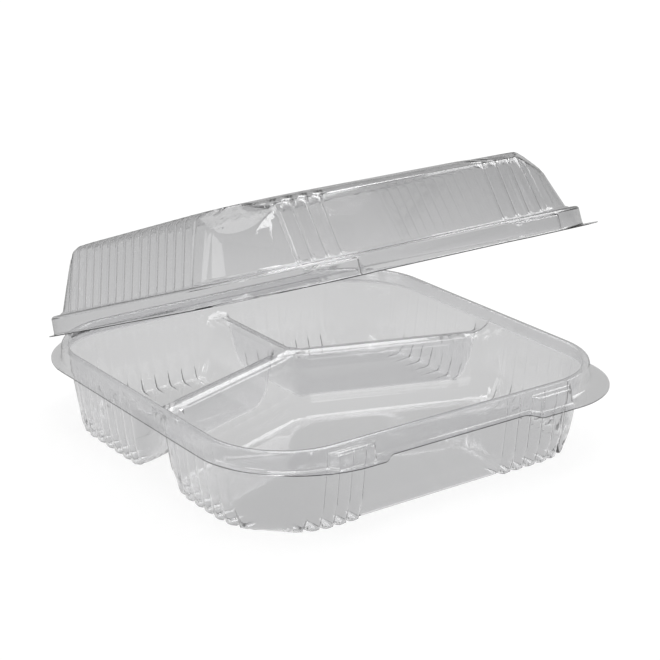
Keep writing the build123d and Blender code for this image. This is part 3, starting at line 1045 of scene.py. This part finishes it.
def floor_material(stage):
    """Plain pale floor, white to the camera, glowing pale grey through the sheet and white in reflections in
    a painted pool of light round the tray.
    """
    material = bpy.data.materials.new("floor_pale")
    material.use_nodes = True
    tree = material.node_tree
    tree.nodes.clear()
    output = tree.nodes.new("ShaderNodeOutputMaterial")
    mix = tree.nodes.new("ShaderNodeMixShader")
    plain = tree.nodes.new("ShaderNodeBsdfDiffuse")
    plain.inputs["Color"].default_value = (0.8, 0.8, 0.8, 1.0)
    bright = tree.nodes.new("ShaderNodeEmission")
    camera, through, mirrored = backdrop_rays(tree)
    # Painted pools of light: the floor's glow through the sheet and in reflections is brightest round the
    # tray and darker further out
    below = light_pool(tree, THROUGH_PAINTED_POOL, stage.painted_through_level, stage.painted_through_far)
    around = light_pool(tree, MIRROR_PAINTED_POOL, stage.painted_mirror_level, stage.painted_mirror_far)
    straight = math_node(tree, "MULTIPLY", camera, stage.camera_level)
    strength = math_node(tree, "MAXIMUM", straight, math_node(tree, "MULTIPLY", through, below))
    strength = math_node(tree, "MAXIMUM", strength, math_node(tree, "MULTIPLY", mirrored, around))
    shaded = light_pool(tree, SHADE_POOL, stage.camera_share, 1.0)
    seen = math_node(tree, "MAXIMUM", math_node(tree, "MULTIPLY", camera, shaded), through)
    seen = math_node(tree, "MAXIMUM", seen, mirrored)
    tree.links.new(strength, bright.inputs["Strength"])
    tree.links.new(seen, mix.inputs["Fac"])
    tree.links.new(plain.outputs["BSDF"], mix.inputs[1])
    tree.links.new(bright.outputs["Emission"], mix.inputs[2])
    tree.links.new(mix.outputs["Shader"], output.inputs["Surface"])
    return material


class CONTAINER_OT_stage(bpy.types.Operator):
    """Sets the floor, the studio light and the camera"""

    bl_idname = "container.stage"
    bl_label = "Stage"

    def execute(self, context):
        scene = context.scene
        stage = scene.container_stage
        self.floor(scene, stage)
        self.world(scene, stage)
        self.lamps(scene)
        self.camera(scene, stage)
        scene.view_settings.view_transform = "Standard"
        scene.cycles.max_bounces = SHEET_BOUNCES
        scene.cycles.transmission_bounces = SHEET_BOUNCES
        scene.cycles.glossy_bounces = GLOSSY_BOUNCES
        return {"FINISHED"}

    def floor(self, scene, stage):
        """Pale floor just under the tray."""
        mesh = bpy.data.meshes.new("floor")
        bm = bmesh.new()
        bmesh.ops.create_grid(bm, x_segments=1, y_segments=1, size=FLOOR_HALF)
        bmesh.ops.translate(bm, verts=bm.verts, vec=Vector((0.0, 0.0, FLOOR_LEVEL)))
        bm.to_mesh(mesh)
        bm.free()
        floor = bpy.data.objects.new("floor", mesh)
        scene.collection.objects.link(floor)
        mesh.materials.append(floor_material(stage))

    def world(self, scene, stage):
        """Grey room that is white to the camera."""
        world = bpy.data.worlds.new("studio")
        scene.world = world
        world.use_nodes = True
        tree = world.node_tree
        tree.nodes.clear()
        output = tree.nodes.new("ShaderNodeOutputWorld")
        mix = tree.nodes.new("ShaderNodeMixShader")
        room = tree.nodes.new("ShaderNodeBackground")
        room.inputs["Color"].default_value = (stage.room_level, stage.room_level, stage.room_level, 1.0)
        white = tree.nodes.new("ShaderNodeBackground")
        white.inputs["Color"].default_value = (1.0, 1.0, 1.0, 1.0)
        camera, through, _ = backdrop_rays(tree)
        strength = math_node(tree, "MAXIMUM", camera, math_node(tree, "MULTIPLY", through, stage.painted_through_far))
        seen = math_node(tree, "MAXIMUM", camera, through)
        tree.links.new(strength, white.inputs["Strength"])
        tree.links.new(seen, mix.inputs["Fac"])
        tree.links.new(room.outputs["Background"], mix.inputs[1])
        tree.links.new(white.outputs["Background"], mix.inputs[2])
        tree.links.new(mix.outputs["Shader"], output.inputs["Surface"])

    def lamps(self, scene):
        """Soft area lamps aimed at the tray."""
        for name, place, size, power in LAMPS:
            lamp = bpy.data.lights.new(name, "AREA")
            lamp.size = size
            lamp.energy = power
            lamp_object = bpy.data.objects.new(name, lamp)
            lamp_object.location = place
            aim = Vector(LAMP_AIM) - Vector(place)
            lamp_object.rotation_euler = aim.to_track_quat("-Z", "Y").to_euler()
            scene.collection.objects.link(lamp_object)

    def camera(self, scene, stage):
        """Camera at the photo's viewing angle."""
        level = math.cos(stage.elevation)
        back = Vector((
            math.sin(stage.azimuth) * level,
            -math.cos(stage.azimuth) * level,
            math.sin(stage.elevation),
        ))
        camera = bpy.data.cameras.new("camera")
        camera.lens = stage.lens
        camera.sensor_width = SENSOR_WIDTH
        camera_object = bpy.data.objects.new("camera", camera)
        camera_object.location = Vector(stage.target) + back * stage.distance
        camera_object.rotation_euler = (-back).to_track_quat("-Z", "Y").to_euler()
        scene.collection.objects.link(camera_object)
        scene.camera = camera_object


class CONTAINER_PT_panel(bpy.types.Panel):
    """Buttons for the container's pieces"""

    bl_idname = "CONTAINER_PT_panel"
    bl_label = "Clear hinged container"
    bl_space_type = "VIEW_3D"
    bl_region_type = "UI"
    bl_category = "Container"

    def draw(self, context):
        layout = self.layout
        for operator in OPERATORS:
            layout.operator(operator.bl_idname)
        layout.prop(context.scene.container_sizes, "open_angle")


OPERATORS = (CONTAINER_OT_tray, CONTAINER_OT_lid, CONTAINER_OT_hinge, CONTAINER_OT_stage)
CLASSES = (ContainerSizes, StageSettings, *OPERATORS, CONTAINER_PT_panel)


def register():
    """Registers the classes and puts the settings on the scene."""
    for cls in CLASSES:
        bpy.utils.register_class(cls)
    bpy.types.Scene.container_sizes = bpy.props.PointerProperty(type=ContainerSizes)
    bpy.types.Scene.container_stage = bpy.props.PointerProperty(type=StageSettings)


def unregister():
    """Takes the settings and the classes away again."""
    del bpy.types.Scene.container_stage
    del bpy.types.Scene.container_sizes
    for cls in reversed(CLASSES):
        bpy.utils.unregister_class(cls)


def plain(bounds):
    """Corners of a box as plain lists."""
    return [[float(value) for value in corner] for corner in bounds]


def main():
    """Builds the pieces and the stage."""
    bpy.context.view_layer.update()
    register()
    bpy.ops.container.tray()
    bpy.ops.container.lid()
    bpy.ops.container.hinge()
    bpy.ops.container.stage()


if __name__ == "__main__":
    main()
